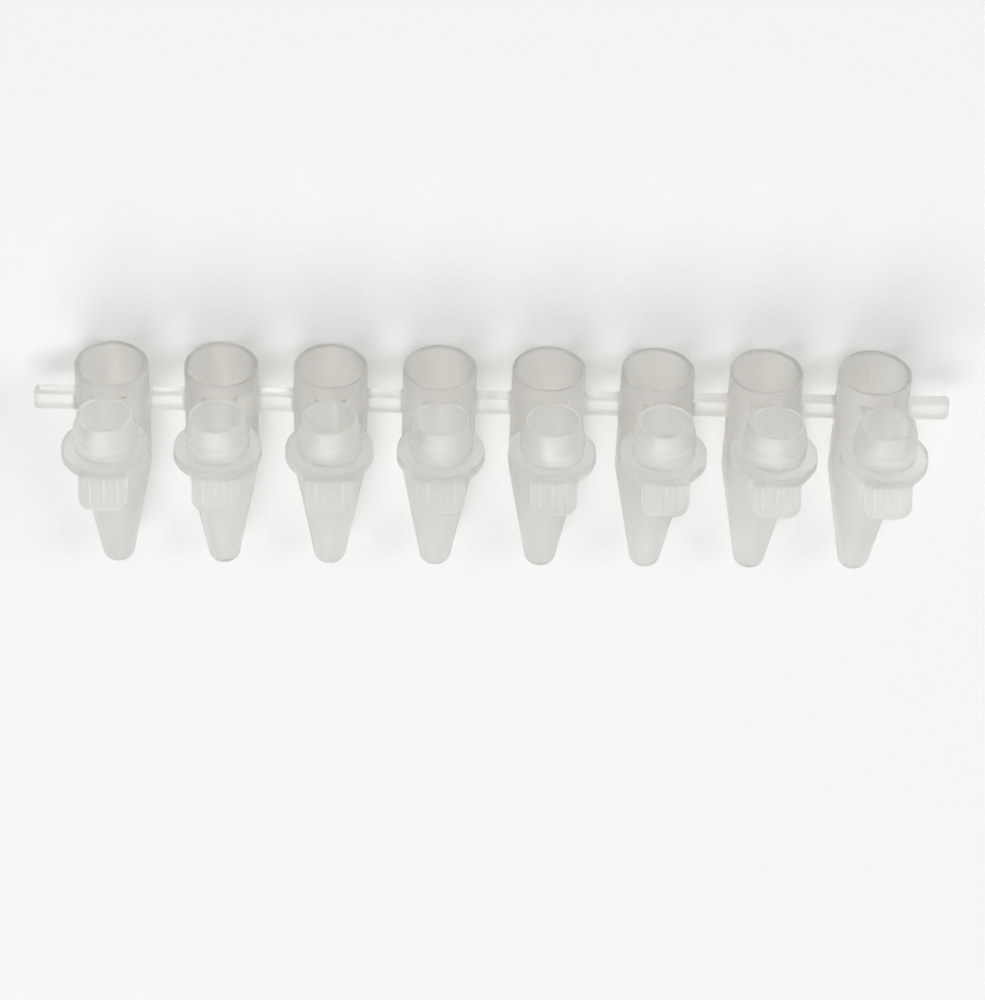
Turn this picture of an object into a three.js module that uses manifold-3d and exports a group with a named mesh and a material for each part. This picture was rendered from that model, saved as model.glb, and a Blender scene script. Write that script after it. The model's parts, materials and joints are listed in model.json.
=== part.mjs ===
// A strip of eight 0.2 mL PCR tubes with individually attached flat caps, moulded in natural
// polypropylene. Lengths are in millimetres and +Z is up.
//
// The strip is drawn upright first: X runs along the row, Z runs up a tube from its closed tip to
// its rim, and the caps hang open on the +Y side, as they come out of the mould. It is then laid
// on the backs of its tubes, as it comes to rest on a bench, with its mouths towards -Y.

import * as THREE from 'three';
import { mergeVertices } from 'three/addons/utils/BufferGeometryUtils.js';
import Module from 'manifold-3d';

// Row of tubes
const TUBE_COUNT = 8;
const PITCH = 9.0;

// Tube, from its closed tip at height 0 to its rim
const TUBE_HEIGHT = 20.8;
const BODY_RADIUS = 3.06;
const CONE_HEIGHT = 10.6; // where the cone meets the straight body
const TIP_RADIUS = 1.35;
const TIP_ROUNDING = 0.9;
const TIP_WALL = 0.45;
const CONE_WALL = 0.35;
const MOUTH_WALL = 0.34;
const BORE_DRAFT = THREE.MathUtils.degToRad(0.7);
const MOUTH_CHAMFER = 0.15;
const RIM_ROUNDING = 0.08;

// Web between the tubes, and the tab on each end of the row
const WEB_DROP = 2.8; // from the rim down to the web's upper face
const WEB_HEIGHT = 1.6;
const WEB_THICKNESS = 1.3;
const END_TAB_LENGTH = 3.4;
const END_TAB_ROUNDING = 0.45;
const JOIN_DEPTH = 0.2; // how far a bar runs into the wall that carries it

// Cap: a flat disc with a hollow plug
const DISC_OVERHANG = 0.49; // of the disc past the tube's body
const DISC_THICKNESS = 1.0;
const PLUG_DEPTH = 3.1;
const PLUG_WALL = 0.5;
const PLUG_CLEARANCE = 0.1; // between the sealing bead and the bore
const BEAD_PROUD = 0.1;
const BEAD_DEPTH = 1.1; // from the disc to the middle of the bead
const BEAD_WIDTH = 0.5;
const BEAD_FLANK = 0.25;
const PLUG_LEAD_IN = 0.3;
const PLUG_LEAD_LENGTH = 1.2;

// Thumb tab on the cap, bent away from the plug, with its grip ribs
const TAB_WIDTH = 3.9;
const TAB_LENGTH = 3.1; // along its slope, from the edge of the disc
const TAB_THICKNESS = 0.8;
const TAB_SLOPE = THREE.MathUtils.degToRad(57); // of the tab out of the disc's plane
const TAB_BLEND_ANGLE = THREE.MathUtils.degToRad(48); // where the disc's edge runs off into the tab
const TAB_ROUNDING = 1.1;
const RIB_COUNT = 3;
const RIB_SPACING = 1.1;
const RIB_WIDTH = 0.3;
const RIB_LENGTH = 2.1;
const RIB_PROUD = 0.2;
const RIB_SETBACK = 0.45; // from a rib's end to the end of the tab

// Living hinge
const HINGE_DROP = 0.6; // from the rim down to the hinge axis
const SEAT_GAP = 0.1; // between the rim and the closed disc
const LUG_WIDTH = 2.8;
const LUG_THICKNESS = 0.7;
const LUG_PROUD = 0.1; // of a lug's face past the edge of the disc
const STRAP_SPAN = 1.7; // between the two lugs' faces
const STRAP_WIDTH = 2.5;
const STRAP_THICKNESS = 0.25;
const STRAP_INSET = 0.05; // below the lugs' upper faces
const STRAP_END_GAP = 0.05;

// Fineness of the round shapes
const ROUND_SEGMENTS = 24;
const CORNER_SEGMENTS = 3;

// Sizes that follow from the ones above
const BORE_RADIUS = BODY_RADIUS - MOUTH_WALL;
const RIM = TUBE_HEIGHT;
const WEB_TOP = RIM - WEB_DROP;
const WEB_BOTTOM = WEB_TOP - WEB_HEIGHT;
const DISC_RADIUS = BODY_RADIUS + DISC_OVERHANG;
const LUG_FACE = DISC_RADIUS + LUG_PROUD; // from the axis of a tube, or of a cap, to its lug's face
const HINGE_OFFSET = LUG_FACE + STRAP_SPAN / 2; // from a tube's axis to its hinge's axis
const CAP_OFFSET = 2 * HINGE_OFFSET; // an open cap stands as far past the hinge as its tube before it
const DISC_SEAT = RIM - 2 * HINGE_DROP - SEAT_GAP; // height of an open disc's plug side
const PLUG_TOP = DISC_SEAT + PLUG_DEPTH;

const naturalPolypropylene = new THREE.MeshStandardMaterial({
  name: 'natural_polypropylene',
  color: 0xe9e9e6,
  roughness: 0.35,
  metalness: 0,
  transparent: true,
  opacity: 0.6,
});

const thinPolypropylene = naturalPolypropylene.clone();
thinPolypropylene.name = 'thin_polypropylene';
thinPolypropylene.opacity = 0.45;

const wasm = await Module();
wasm.setup();

// A manifold solid from a closed three.js geometry.
function solidFrom(geometry) {
  geometry.deleteAttribute('normal');
  geometry.deleteAttribute('uv');
  const merged = mergeVertices(geometry);
  const mesh = new wasm.Mesh({
    numProp: 3,
    vertProperties: new Float32Array(merged.getAttribute('position').array),
    triVerts: new Uint32Array(merged.getIndex().array),
  });
  return new wasm.Manifold(mesh);
}

// A three.js geometry, with flat facets, from a manifold solid.
function geometryFrom(solid) {
  const { vertProperties, triVerts } = solid.getMesh();
  const indexed = new THREE.BufferGeometry();
  indexed.setAttribute('position', new THREE.BufferAttribute(vertProperties, 3));
  indexed.setIndex(new THREE.BufferAttribute(triVerts, 1));
  const geometry = indexed.toNonIndexed();
  geometry.computeVertexNormals();
  return geometry;
}

function joined(solids) {
  return solids.reduce((whole, solid) => whole.add(solid));
}

// A solid of revolution about Z, from [radius, height] points that run up its outside. The ring of
// facets is turned by half a facet, so that a flat one faces each of X and Y.
function turned(points) {
  const profile = points.map(([radius, height]) => new THREE.Vector2(radius, height));
  const geometry = new THREE.LatheGeometry(profile, ROUND_SEGMENTS, Math.PI / ROUND_SEGMENTS);
  return solidFrom(geometry.rotateX(Math.PI / 2));
}

// A box from its lower corner and its size along X, Y and Z.
function block([x, y, z], [width, depth, height]) {
  const geometry = new THREE.BoxGeometry(width, depth, height);
  return solidFrom(geometry.translate(x + width / 2, y + depth / 2, z + height / 2));
}

// A flat plate from an outline in X and Y, standing on height z.
function plate(outline, z, thickness) {
  const settings = { depth: thickness, bevelEnabled: false, curveSegments: CORNER_SEGMENTS };
  return solidFrom(new THREE.ExtrudeGeometry(outline, settings).translate(0, 0, z));
}

// Points on a quarter circle about [radius, height], from one angle to another.
function quarterTurn([radius, height], size, from) {
  return Array.from({ length: CORNER_SEGMENTS + 1 }, (_, step) => {
    const angle = from + (Math.PI / 2) * (step / CORNER_SEGMENTS);
    return [radius + size * Math.cos(angle), height + size * Math.sin(angle)];
  });
}

// The tube's wall: up the outside from the tip, over the rim and down the bore.
function tube() {
  const coneRadius = BODY_RADIUS - CONE_WALL; // of the bore, where the cone meets the body
  const draftedRadius = BORE_RADIUS - (RIM - CONE_HEIGHT) * Math.tan(BORE_DRAFT);
  const boreTipRadius = TIP_RADIUS - CONE_WALL;
  const outside = [
    [0, 0],
    ...quarterTurn([TIP_RADIUS - TIP_ROUNDING, TIP_ROUNDING], TIP_ROUNDING, -Math.PI / 2),
    [BODY_RADIUS, CONE_HEIGHT],
    [BODY_RADIUS, RIM - RIM_ROUNDING],
    [BODY_RADIUS - RIM_ROUNDING, RIM],
  ];
  const bore = [
    [BORE_RADIUS + MOUTH_CHAMFER, RIM],
    [BORE_RADIUS, RIM - MOUTH_CHAMFER],
    [Math.min(coneRadius, draftedRadius), CONE_HEIGHT],
    [boreTipRadius, TIP_WALL + boreTipRadius],
    [boreTipRadius * Math.SQRT1_2, TIP_WALL + boreTipRadius * (1 - Math.SQRT1_2)],
    [0, TIP_WALL],
  ];
  return turned([...outside, ...bore]);
}

// The lug on the tube's wall that carries the hinge strap.
function tubeLug() {
  const start = BODY_RADIUS - JOIN_DEPTH;
  const chordDrop = BODY_RADIUS - Math.sqrt(BODY_RADIUS ** 2 - (LUG_WIDTH / 2) ** 2);
  const base = start - chordDrop;
  const shelf = block(
    [-LUG_WIDTH / 2, base, DISC_SEAT - LUG_THICKNESS],
    [LUG_WIDTH, LUG_FACE - base, LUG_THICKNESS],
  );
  const core = turned([
    [0, 0],
    [BODY_RADIUS - JOIN_DEPTH, 0],
    [BODY_RADIUS - JOIN_DEPTH, RIM],
    [0, RIM],
  ]);
  return shelf.subtract(core);
}

// A bar between two tubes, from the wall of one to the wall of the next.
function webBar() {
  const start = BODY_RADIUS - JOIN_DEPTH;
  return block(
    [start, -WEB_THICKNESS / 2, WEB_BOTTOM],
    [PITCH - 2 * start, WEB_THICKNESS, WEB_HEIGHT],
  );
}

// The tab on the +X end of the row, with its two free corners rounded.
function endTab() {
  const start = BODY_RADIUS - JOIN_DEPTH;
  const end = BODY_RADIUS + END_TAB_LENGTH;
  const side = WEB_THICKNESS / 2;
  const outline = new THREE.Shape();
  outline.moveTo(start, -side);
  outline.lineTo(end - END_TAB_ROUNDING, -side);
  outline.absarc(end - END_TAB_ROUNDING, END_TAB_ROUNDING - side, END_TAB_ROUNDING, -Math.PI / 2, 0);
  outline.absarc(end - END_TAB_ROUNDING, side - END_TAB_ROUNDING, END_TAB_ROUNDING, 0, Math.PI / 2);
  outline.lineTo(start, side);
  return plate(outline, WEB_BOTTOM, WEB_HEIGHT);
}

function tubePosition(index) {
  return (index - (TUBE_COUNT - 1) / 2) * PITCH;
}

// The eight tubes, their web, lugs and end tabs, moulded as one.
function tubeStrip() {
  const tubeWithLug = tube().add(tubeLug());
  const bar = webBar();
  const tab = endTab();
  const pieces = [];
  for (let index = 0; index < TUBE_COUNT; index += 1) {
    pieces.push(tubeWithLug.translate([tubePosition(index), 0, 0]));
  }
  for (let index = 0; index < TUBE_COUNT - 1; index += 1) {
    pieces.push(bar.translate([tubePosition(index), 0, 0]));
  }
  pieces.push(tab.translate([tubePosition(TUBE_COUNT - 1), 0, 0]));
  pieces.push(tab.rotate([0, 0, 180]).translate([tubePosition(0), 0, 0]));
  return geometryFrom(joined(pieces));
}

// The outline of a cap's disc seen along its axis: a circle that runs off into the root of the thumb
// tab at +Y.
function discOutline() {
  const outline = new THREE.Shape();
  const steps = ROUND_SEGMENTS;
  const sweep = 2 * (Math.PI - TAB_BLEND_ANGLE);
  for (let step = 0; step <= steps; step += 1) {
    const angle = Math.PI / 2 + TAB_BLEND_ANGLE + sweep * (step / steps);
    const x = DISC_RADIUS * Math.cos(angle);
    const y = DISC_RADIUS * Math.sin(angle);
    if (step === 0) outline.moveTo(x, y);
    else outline.lineTo(x, y);
  }
  outline.lineTo(TAB_WIDTH / 2, DISC_RADIUS);
  outline.lineTo(-TAB_WIDTH / 2, DISC_RADIUS);
  return outline;
}

// The hollow plug, standing on the disc's plug side at height 0, with its sealing bead. Its foot is
// sunk into the disc.
function plug() {
  const bead = BORE_RADIUS - PLUG_CLEARANCE;
  const waist = bead - BEAD_PROUD;
  const inside = waist - PLUG_WALL;
  return turned([
    [inside, -JOIN_DEPTH],
    [waist, -JOIN_DEPTH],
    [waist, BEAD_DEPTH - BEAD_WIDTH / 2 - BEAD_FLANK],
    [bead, BEAD_DEPTH - BEAD_WIDTH / 2],
    [bead, BEAD_DEPTH + BEAD_WIDTH / 2],
    [waist, BEAD_DEPTH + BEAD_WIDTH / 2 + BEAD_FLANK],
    [waist, PLUG_DEPTH - PLUG_LEAD_LENGTH],
    [waist - PLUG_LEAD_IN, PLUG_DEPTH],
    [inside, PLUG_DEPTH],
    [inside, -JOIN_DEPTH],
  ]);
}

// The grip ribs on the plug side of the thumb tab, which lies flat here with its root at Y = 0.
function gripRibs() {
  const ribs = [];
  for (let index = 0; index < RIB_COUNT; index += 1) {
    const x = (index - (RIB_COUNT - 1) / 2) * RIB_SPACING;
    const start = TAB_LENGTH - RIB_SETBACK - RIB_LENGTH;
    const size = [RIB_WIDTH, RIB_LENGTH, JOIN_DEPTH + RIB_PROUD];
    ribs.push(block([x - RIB_WIDTH / 2, start, -JOIN_DEPTH], size));
  }
  return joined(ribs);
}

// The thumb tab with its ribs, bent away from the plug at the edge of the disc.
function thumbTab() {
  const side = TAB_WIDTH / 2;
  const corner = TAB_LENGTH - TAB_ROUNDING;
  const outline = new THREE.Shape();
  outline.moveTo(-side, 0);
  outline.lineTo(side, 0);
  outline.lineTo(side, corner);
  outline.absarc(side - TAB_ROUNDING, corner, TAB_ROUNDING, 0, Math.PI / 2);
  outline.absarc(TAB_ROUNDING - side, corner, TAB_ROUNDING, Math.PI / 2, Math.PI);
  const flat = plate(outline, -TAB_THICKNESS, TAB_THICKNESS).add(gripRibs());
  const slope = THREE.MathUtils.radToDeg(TAB_SLOPE);
  return flat.rotate([-slope, 0, 0]).translate([0, DISC_RADIUS, 0]);
}

// The cap's hinge lug, on the side away from the thumb tab.
function capLug() {
  const size = [LUG_WIDTH, LUG_FACE - DISC_RADIUS / 2, LUG_THICKNESS];
  return block([-LUG_WIDTH / 2, -LUG_FACE, -LUG_THICKNESS], size);
}

// A cap about its own axis, with the disc's plug side at height 0 and the thumb tab at +Y.
function cap() {
  const disc = plate(discOutline(), -DISC_THICKNESS, DISC_THICKNESS);
  return geometryFrom(joined([disc, capLug(), plug(), thumbTab()]));
}

// The strap of the living hinge, centred on the hinge's axis in X and Y.
function hingeStrap() {
  const length = STRAP_SPAN - 2 * STRAP_END_GAP;
  const geometry = new THREE.BoxGeometry(STRAP_WIDTH, length, STRAP_THICKNESS);
  return geometry.translate(0, 0, -STRAP_INSET - STRAP_THICKNESS / 2);
}

function placed(name, geometry, material, [x, y, z]) {
  const mesh = new THREE.Mesh(geometry, material);
  mesh.name = name;
  mesh.position.set(x, y, z);
  return mesh;
}

// The whole strip, upright, with its caps open.
function uprightStrip() {
  const strip = new THREE.Group();
  const capGeometry = cap();
  const strapGeometry = hingeStrap();
  strip.add(placed('tube_strip', tubeStrip(), naturalPolypropylene, [0, 0, 0]));
  for (let index = 0; index < TUBE_COUNT; index += 1) {
    const x = tubePosition(index);
    const number = index + 1;
    const capPlace = [x, CAP_OFFSET, DISC_SEAT];
    const strapPlace = [x, HINGE_OFFSET, DISC_SEAT];
    strip.add(placed(`cap_${number}`, capGeometry, naturalPolypropylene, capPlace));
    strip.add(placed(`hinge_strap_${number}`, strapGeometry, thinPolypropylene, strapPlace));
  }
  return strip;
}

// The strip laid on the backs of its tubes, where the lowest facet of each one lies flat.
function restingStrip() {
  const resting = new THREE.Group();
  const strip = uprightStrip();
  strip.rotation.x = Math.PI / 2;
  strip.position.y = PLUG_TOP / 2;
  strip.position.z = BODY_RADIUS * Math.cos(Math.PI / ROUND_SEGMENTS);
  resting.add(strip);
  return resting;
}

export default restingStrip();
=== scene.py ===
"""A strip of eight 0.2 mL reaction tubes with attached flat caps, in natural polypropylene.

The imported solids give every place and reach. This script lays fine, softly rounded surfaces over
them and gives them the milky, see-through look of the bare plastic.

Lengths in the classes are millimetres in the strip's upright axes: x runs along the row, u from a
tube's axis towards its open cap, and t up a tube from its closed tip to its rim. Upright turns
them into the row frame.
"""

import json
import logging
import math
from collections.abc import Sequence
from dataclasses import dataclass
from enum import Enum

import bpy
import numpy as np
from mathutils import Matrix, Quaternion, Vector
from numpy.typing import NDArray


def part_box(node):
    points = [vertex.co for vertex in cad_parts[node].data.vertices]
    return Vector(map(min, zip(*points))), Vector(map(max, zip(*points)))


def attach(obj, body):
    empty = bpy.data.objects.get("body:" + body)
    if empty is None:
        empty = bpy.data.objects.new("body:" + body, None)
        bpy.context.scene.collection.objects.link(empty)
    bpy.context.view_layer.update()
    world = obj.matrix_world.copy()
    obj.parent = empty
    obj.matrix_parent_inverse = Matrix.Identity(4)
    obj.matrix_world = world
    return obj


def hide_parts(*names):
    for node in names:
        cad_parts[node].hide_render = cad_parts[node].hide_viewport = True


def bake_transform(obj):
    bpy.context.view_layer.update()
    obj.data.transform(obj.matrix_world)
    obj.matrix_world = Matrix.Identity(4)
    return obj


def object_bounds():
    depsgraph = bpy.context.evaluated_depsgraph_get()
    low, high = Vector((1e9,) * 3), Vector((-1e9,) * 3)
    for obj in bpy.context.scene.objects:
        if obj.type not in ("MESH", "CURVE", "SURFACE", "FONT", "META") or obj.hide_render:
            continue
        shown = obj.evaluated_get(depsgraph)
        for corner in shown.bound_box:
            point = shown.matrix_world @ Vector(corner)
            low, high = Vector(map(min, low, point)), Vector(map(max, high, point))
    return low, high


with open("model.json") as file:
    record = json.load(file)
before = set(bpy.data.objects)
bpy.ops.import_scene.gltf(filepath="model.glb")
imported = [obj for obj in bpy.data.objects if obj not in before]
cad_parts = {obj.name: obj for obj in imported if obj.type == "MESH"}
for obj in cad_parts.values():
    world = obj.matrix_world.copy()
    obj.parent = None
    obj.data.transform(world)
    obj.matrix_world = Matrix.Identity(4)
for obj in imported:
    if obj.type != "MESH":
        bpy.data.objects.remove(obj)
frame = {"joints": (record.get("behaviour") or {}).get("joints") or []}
CAD_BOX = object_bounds()

FloatArray = NDArray[np.float64]
IntArray = NDArray[np.int64]
Colour = tuple[float, float, float]
Material = bpy.types.Material
Piece = bpy.types.Object
Socket = bpy.types.NodeSocket

MM = 0.001
HINGE_OFFSET = 4.5  # from a tube's axis to its hinge's axis, in millimetres
STRAIGHT = 1e-6  # a corner that turns by less than this angle isn't rounded
SAME_PLACE = 1e-7  # points that lie closer than this are one point
TINY = 1e-9  # stands in for zero in a divisor, and a radius below it lies on the axis
CREASE = math.radians(38)  # an edge between faces that turn by more than this stays sharp
FLEX_ATTRIBUTE = "flexed"
IMAGE_ASPECT = 985 / 1000  # the picture's width over its height

logger = logging.getLogger("tube_strip")


# --- surfaces ------------------------------------------------------------------------------------


@dataclass(frozen=True)
class Surface:
    """A closed surface of points and faces.

    Attributes:
        points: The corners, one row of x, u and t each.
        faces: Arrays of corner numbers, with a row for each face, and one array for each count
            of corners.
    """

    points: FloatArray
    faces: tuple[IntArray, ...]

    def moved(self, offset: Sequence[float]) -> "Surface":
        """The same surface carried by an offset."""
        return Surface(self.points + np.asarray(offset, float), self.faces)

    def mirrored_in_x(self) -> "Surface":
        """The surface's mirror image across x = 0, with its faces still pointing outwards."""
        return Surface(self.points * (-1.0, 1.0, 1.0), tuple(face[:, ::-1] for face in self.faces))

    def volume(self) -> float:
        """The enclosed volume: a sixth of the sum of the triple products of all triangles.

        Returns:
            The volume, which is negative when the faces point inwards.
        """
        total = 0.0
        for face in self.faces:
            corner = self.points[face]
            first, rest = corner[:, :1], corner[:, 1:]
            fans = np.cross(rest[:, :-1], rest[:, 1:])
            total += float((first * fans).sum()) / 6
        return total

    def outwards(self) -> "Surface":
        """The surface with its faces turned round if they point inwards.

        Returns:
            The same surface, facing outwards.
        """
        if self.volume() >= 0:
            return self
        return Surface(self.points, tuple(face[:, ::-1] for face in self.faces))


def together(surfaces: Sequence[Surface]) -> Surface:
    """Several surfaces as one set of points and faces, without joining them.

    Args:
        surfaces: Closed surfaces that don't touch each other.

    Returns:
        One surface that holds them all.
    """
    starts = np.cumsum([0] + [len(surface.points) for surface in surfaces[:-1]])
    points = np.concatenate([surface.points for surface in surfaces])
    faces = [face + start for surface, start in zip(surfaces, starts) for face in surface.faces]
    counts = sorted({face.shape[1] for face in faces})
    grouped = [
        np.concatenate([face for face in faces if face.shape[1] == count]) for count in counts
    ]
    return Surface(points, tuple(grouped))


def softened(corners: Sequence[Sequence[float]], radii: Sequence[float], steps: int = 6,
             closed: bool = True) -> FloatArray:
    """A line through corners, each one rounded to its own radius.

    A corner gives way to an arc that is tangent to both of its sides. The arc starts
    radius / tan(half the corner's angle) along the side behind, its centre is
    radius / sin(half the angle) up the bisector, and its points are the start turned about the
    centre in equal steps. Corners with no radius stay sharp.

    Args:
        corners: The corners in order, as pairs.
        radii: The radius of each corner's arc.
        steps: Steps in each arc.
        closed: Whether the last corner joins the first one.

    Returns:
        The rounded line's points, one pair in each row.
    """
    at = np.asarray(corners, float)
    radius = np.asarray(radii, float)
    behind = np.roll(at, 1, axis=0) - at
    ahead = np.roll(at, -1, axis=0) - at
    behind /= np.linalg.norm(behind, axis=1, keepdims=True)
    ahead /= np.linalg.norm(ahead, axis=1, keepdims=True)
    angle = np.arccos(np.clip((behind * ahead).sum(1), -1, 1))
    radius = np.where(math.pi - angle < STRAIGHT, 0.0, radius)
    if not closed:
        radius[[0, -1]] = 0.0
    half = np.maximum(angle / 2, TINY)
    bisector = behind + ahead
    bisector /= np.maximum(np.linalg.norm(bisector, axis=1, keepdims=True), TINY)
    centre = at + bisector * (radius / np.sin(half))[:, None]
    start = at + behind * (radius / np.tan(half))[:, None] - centre
    turn = np.sign(-behind[:, 0] * ahead[:, 1] + behind[:, 1] * ahead[:, 0]) * (math.pi - angle)
    swept = turn[:, None] * np.linspace(0, 1, steps + 1)
    cosine, sine = np.cos(swept), np.sin(swept)
    x = centre[:, :1] + start[:, :1] * cosine - start[:, 1:] * sine
    y = centre[:, 1:] + start[:, :1] * sine + start[:, 1:] * cosine
    line = np.stack([x, y], axis=-1).reshape(-1, 2)
    step = np.linalg.norm(line - np.roll(line, 1, axis=0), axis=1)
    keep = step > SAME_PLACE
    if not closed:
        keep[0] = True
    return line[keep]


def revolved(profile: FloatArray, segments: int) -> Surface:
    """A surface of revolution about t.

    The point at step i of the profile and angle a is (radius_i cos a, radius_i sin a, height_i).
    A point of the profile on the axis is one point of the surface, so poles are closed. A profile
    that doesn't start and end on the axis is closed on itself, as a ring.

    Args:
        profile: Radius and height of each point.
        segments: Facets round the axis.

    Returns:
        The closed surface, facing outwards.
    """
    angle = np.arange(segments) * (2 * math.pi / segments)
    radius, height = profile[:, 0], profile[:, 1]
    grid = np.stack([
        radius[:, None] * np.cos(angle),
        radius[:, None] * np.sin(angle),
        np.broadcast_to(height[:, None], (len(profile), segments)),
    ], axis=-1)
    number = np.arange(grid[..., 0].size).reshape(grid.shape[:2])
    pole = radius < TINY
    number = np.where(pole[:, None], number[:, :1], number)
    ring = np.arange(len(profile))
    after = (ring + 1) % len(profile)
    if pole[0] and pole[-1]:
        ring, after = ring[:-1], after[:-1]
    low, high = number[ring], number[after]
    quads = np.stack([low, np.roll(low, -1, 1), np.roll(high, -1, 1), high], axis=-1)
    low_pole, high_pole = pole[ring], pole[after]
    sides = quads[~low_pole & ~high_pole].reshape(-1, 4)
    fans = np.concatenate([
        quads[low_pole][..., [0, 2, 3]].reshape(-1, 3),
        quads[high_pole][..., [0, 1, 2]].reshape(-1, 3),
    ])
    corners = np.concatenate([sides.ravel(), fans.ravel()])
    used, renumbered = np.unique(corners, return_inverse=True)
    sides = renumbered[: sides.size].reshape(-1, 4)
    fans = renumbered[sides.size:].reshape(-1, 3)
    faces = (fans, sides) if len(fans) else (sides,)
    return Surface(grid.reshape(-1, 3)[used], faces).outwards()


def sleeve(rings: FloatArray) -> Surface:
    """A closed surface through rings of points, with one flat face over each end.

    Args:
        rings: The rings in order, indexed by ring, point and coordinate.

    Returns:
        The closed surface, facing outwards.
    """
    number = np.arange(rings[..., 0].size).reshape(rings.shape[:2])
    lower, upper = number[:-1], number[1:]
    walls = np.stack([lower, np.roll(lower, -1, 1), np.roll(upper, -1, 1), upper], axis=-1)
    ends = np.stack([number[0][::-1], number[-1]])
    return Surface(rings.reshape(-1, 3), (walls.reshape(-1, 4), ends)).outwards()


def plate(outline: FloatArray, low: float, high: float, soft_low: float, soft_high: float,
          steps: int = 5) -> Surface:
    """A flat plate with rounded edges, standing along t.

    Ring j of the wall is the outline drawn in by soft (1 - sin a_j) at a height soft (1 - cos a_j)
    from its flat, with a_j from 0 to a right angle. One more ring lies on each flat. Each corner
    is drawn in along the mean of its two sides' normals, lengthened so that both sides keep that
    distance.

    Args:
        outline: The plate's edge in x and u, anticlockwise.
        low: Height of the lower flat.
        high: Height of the upper flat.
        soft_low: Radius of the lower edge.
        soft_high: Radius of the upper edge.
        steps: Steps in each edge's quarter circle.

    Returns:
        The closed surface, facing outwards.
    """
    side = np.roll(outline, -1, axis=0) - outline
    side /= np.linalg.norm(side, axis=1, keepdims=True)
    normal = np.stack([side[:, 1], -side[:, 0]], axis=1)
    before = np.roll(normal, 1, axis=0)
    miter = (normal + before) / (1 + (normal * before).sum(1, keepdims=True))
    turn = np.linspace(0, math.pi / 2, steps + 1)
    flat_ring = 0.25  # the ring on a flat is drawn in by this share of the radius more
    drawn_in = np.concatenate([
        [soft_low * (1 + flat_ring)], soft_low * (1 - np.sin(turn)),
        soft_high * (1 - np.sin(turn[::-1])), [soft_high * (1 + flat_ring)],
    ])
    height = np.concatenate([
        [low], low + soft_low * (1 - np.cos(turn)),
        high - soft_high * (1 - np.cos(turn[::-1])), [high],
    ])
    rings = outline[None] - drawn_in[:, None, None] * miter[None]
    heights = np.broadcast_to(height[:, None, None], rings.shape[:2] + (1,))
    return sleeve(np.concatenate([rings, heights], axis=-1))


def mesh_of(surface: Surface, name: str) -> bpy.types.Mesh:
    """A Blender mesh with the surface's own numbers as its coordinates.

    Args:
        surface: The surface.
        name: The mesh's name.

    Returns:
        The mesh.
    """
    mesh = bpy.data.meshes.new(name)
    faces = [row for face in surface.faces for row in face.tolist()]
    mesh.from_pydata(surface.points.tolist(), [], faces)
    return mesh


def surface_of(mesh: bpy.types.Mesh) -> Surface:
    """The surface that a Blender mesh holds.

    Args:
        mesh: A mesh whose coordinates are in the surface's own units.

    Returns:
        Its points, and its faces grouped by their count of corners.
    """
    points = np.empty(len(mesh.vertices) * 3, np.float32)
    mesh.vertices.foreach_get("co", points)
    corners = np.empty(len(mesh.loops), np.int32)
    mesh.loops.foreach_get("vertex_index", corners)
    starts = np.empty(len(mesh.polygons), np.int32)
    mesh.polygons.foreach_get("loop_start", starts)
    counts = np.empty(len(mesh.polygons), np.int32)
    mesh.polygons.foreach_get("loop_total", counts)
    faces = tuple(
        corners[starts[counts == count][:, None] + np.arange(count)].astype(np.int64)
        for count in np.unique(counts)
    )
    return Surface(points.reshape(-1, 3).astype(float), faces)


def joined(first: Surface, *others: Surface) -> Surface:
    """Closed surfaces joined into one skin, with nothing left inside it.

    Args:
        first: The surface that the others are joined to.
        *others: Surfaces that run into it.

    Returns:
        The outer skin of them all.
    """
    collection = bpy.context.scene.collection
    objects = [
        bpy.data.objects.new("scratch", mesh_of(each, "scratch")) for each in (first, *others)
    ]
    for each in objects:
        collection.objects.link(each)
    whole = objects[0]
    for other in objects[1:]:
        modifier = whole.modifiers.new("join", "BOOLEAN")
        modifier.operation = "UNION"
        modifier.solver = "MANIFOLD"
        modifier.object = other
    graph = bpy.context.evaluated_depsgraph_get()
    result = bpy.data.meshes.new_from_object(whole.evaluated_get(graph))
    skin = surface_of(result)
    bpy.data.meshes.remove(result)
    for each in objects:
        mesh = each.data
        bpy.data.objects.remove(each)
        bpy.data.meshes.remove(mesh)
    return skin


# --- where the strip lies ------------------------------------------------------------------------


@dataclass(frozen=True)
class Upright:
    """The strip's upright axes as they lie in the row frame, in millimetres.

    The strip lies on the backs of its tubes: t runs along -Y and u along +Z.

    Attributes:
        columns: The x of each tube's axis.
        tip_y: The row frame's y at t = 0, where the tubes end.
        axis_z: The height of the tubes' axes above what the strip lies on.
    """

    columns: FloatArray
    tip_y: float
    axis_z: float

    @classmethod
    def of_frame(cls, hinge_offset: float) -> "Upright":
        """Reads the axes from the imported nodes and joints.

        Args:
            hinge_offset: From a tube's axis to its hinge's axis.

        Returns:
            The axes.
        """
        places = np.array([joint["pos_m"] for joint in frame["joints"]]) / MM
        tip_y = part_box("tube_strip")[1].y / MM
        return cls(places[:, 0], tip_y, float(places[0, 2]) - hinge_offset)

    def points(self, upright: FloatArray | Sequence[Sequence[float]]) -> FloatArray:
        """Row frame points in metres: (x, tip_y - t, axis_z + u)."""
        x, u, t = np.moveaxis(np.asarray(upright, float), -1, 0)
        return np.stack([x, self.tip_y - t, self.axis_z + u], axis=-1) * MM

    def placed(self, surface: Surface) -> Surface:
        """The surface carried into the row frame, in metres."""
        return Surface(self.points(surface.points), surface.faces)

    def height_of(self, row_y: float) -> float:
        """The t at a row frame y given in metres."""
        return self.tip_y - row_y / MM


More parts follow.
